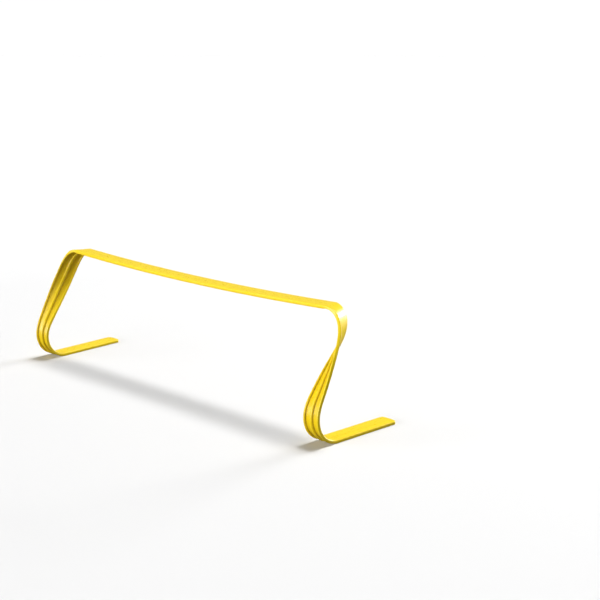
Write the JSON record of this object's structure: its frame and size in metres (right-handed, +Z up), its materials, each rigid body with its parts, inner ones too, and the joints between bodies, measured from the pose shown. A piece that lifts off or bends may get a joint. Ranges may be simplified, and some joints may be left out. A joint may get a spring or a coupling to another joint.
{
  "type": "agility hurdle",
  "caption": "Low agility hurdle: a springy ribbed plastic strip bent into a crossbar on two twisted legs with flat feet.",
  "frame": {"origin": "on the floor, at the centre of the hurdle's outline seen from above", "axes": "+X along the crossbar, +Y along the feet, which turn outwards 2.4 degrees, towards their cut ends (away from the side the legs lean to), +Z up"},
  "size_m": [0.5584, 0.1318, 0.1531],
  "materials": {
    "yellow_plastic": "satin-gloss bright yellow, coloured right through"
  },
  "bodies": {
    "crossbar": {"crossbar_middle": "yellow_plastic"},
    "left_bar_end": {"left_crossbar_end": "yellow_plastic", "left_shoulder": "yellow_plastic"},
    "left_upper_leg": {"left_upper_leg": "yellow_plastic"},
    "left_lower_leg": {"left_lower_leg": "yellow_plastic"},
    "left_foot": {"left_ankle": "yellow_plastic", "left_foot": "yellow_plastic"},
    "right_bar_end": {"right_crossbar_end": "yellow_plastic", "right_shoulder": "yellow_plastic"},
    "right_upper_leg": {"right_upper_leg": "yellow_plastic"},
    "right_lower_leg": {"right_lower_leg": "yellow_plastic"},
    "right_foot": {"right_ankle": "yellow_plastic", "right_foot": "yellow_plastic"}
  },
  "joints": [
    {"name": "left_bar_bow", "type": "hinge", "parent": "crossbar", "child": "left_bar_end", "pos_m": [-0.09, -0.0058, 0.14785], "axis": [0, 1, 0], "range_deg": [0, 8], "stiffness_Nm_per_rad": 1.4},
    {"name": "left_shoulder_flex", "type": "hinge", "parent": "left_bar_end", "child": "left_upper_leg", "pos_m": [-0.25169, -0.00815, 0.14157], "axis": [0, 1, 0], "range_deg": [-15, 15], "stiffness_Nm_per_rad": 2.6, "deforming": ["left_shoulder"]},
    {"name": "left_leg_twist", "type": "hinge", "parent": "left_upper_leg", "child": "left_lower_leg", "pos_m": [-0.26321, -0.03607, 0.08623], "axis": [0.0436, -0.5185, -0.854], "range_deg": [-15, 15], "stiffness_Nm_per_rad": 0.9},
    {"name": "left_ankle_flex", "type": "hinge", "parent": "left_lower_leg", "child": "left_foot", "pos_m": [-0.26232, -0.05138, 0.01377], "axis": [0.9991, 0.0419, 0], "range_deg": [-15, 30], "stiffness_Nm_per_rad": 3.5, "deforming": ["left_ankle"]},
    {"name": "right_bar_bow", "type": "hinge", "parent": "crossbar", "child": "right_bar_end", "pos_m": [0.09, -0.0058, 0.14785], "axis": [0, -1, 0], "range_deg": [0, 8], "stiffness_Nm_per_rad": 1.4},
    {"name": "right_shoulder_flex", "type": "hinge", "parent": "right_bar_end", "child": "right_upper_leg", "pos_m": [0.25169, -0.00815, 0.14157], "axis": [0, -1, 0], "range_deg": [-15, 15], "stiffness_Nm_per_rad": 2.6, "deforming": ["right_shoulder"]},
    {"name": "right_leg_twist", "type": "hinge", "parent": "right_upper_leg", "child": "right_lower_leg", "pos_m": [0.26321, -0.03607, 0.08623], "axis": [0.0436, 0.5185, 0.854], "range_deg": [-15, 15], "stiffness_Nm_per_rad": 0.9},
    {"name": "right_ankle_flex", "type": "hinge", "parent": "right_lower_leg", "child": "right_foot", "pos_m": [0.26232, -0.05138, 0.01377], "axis": [0.9991, -0.0419, 0], "range_deg": [-15, 30], "stiffness_Nm_per_rad": 3.5, "deforming": ["right_ankle"]}
  ],
  "couplings": [
    {"joint": "right_bar_bow", "follows": "left_bar_bow", "ratio": 1}
  ]
}
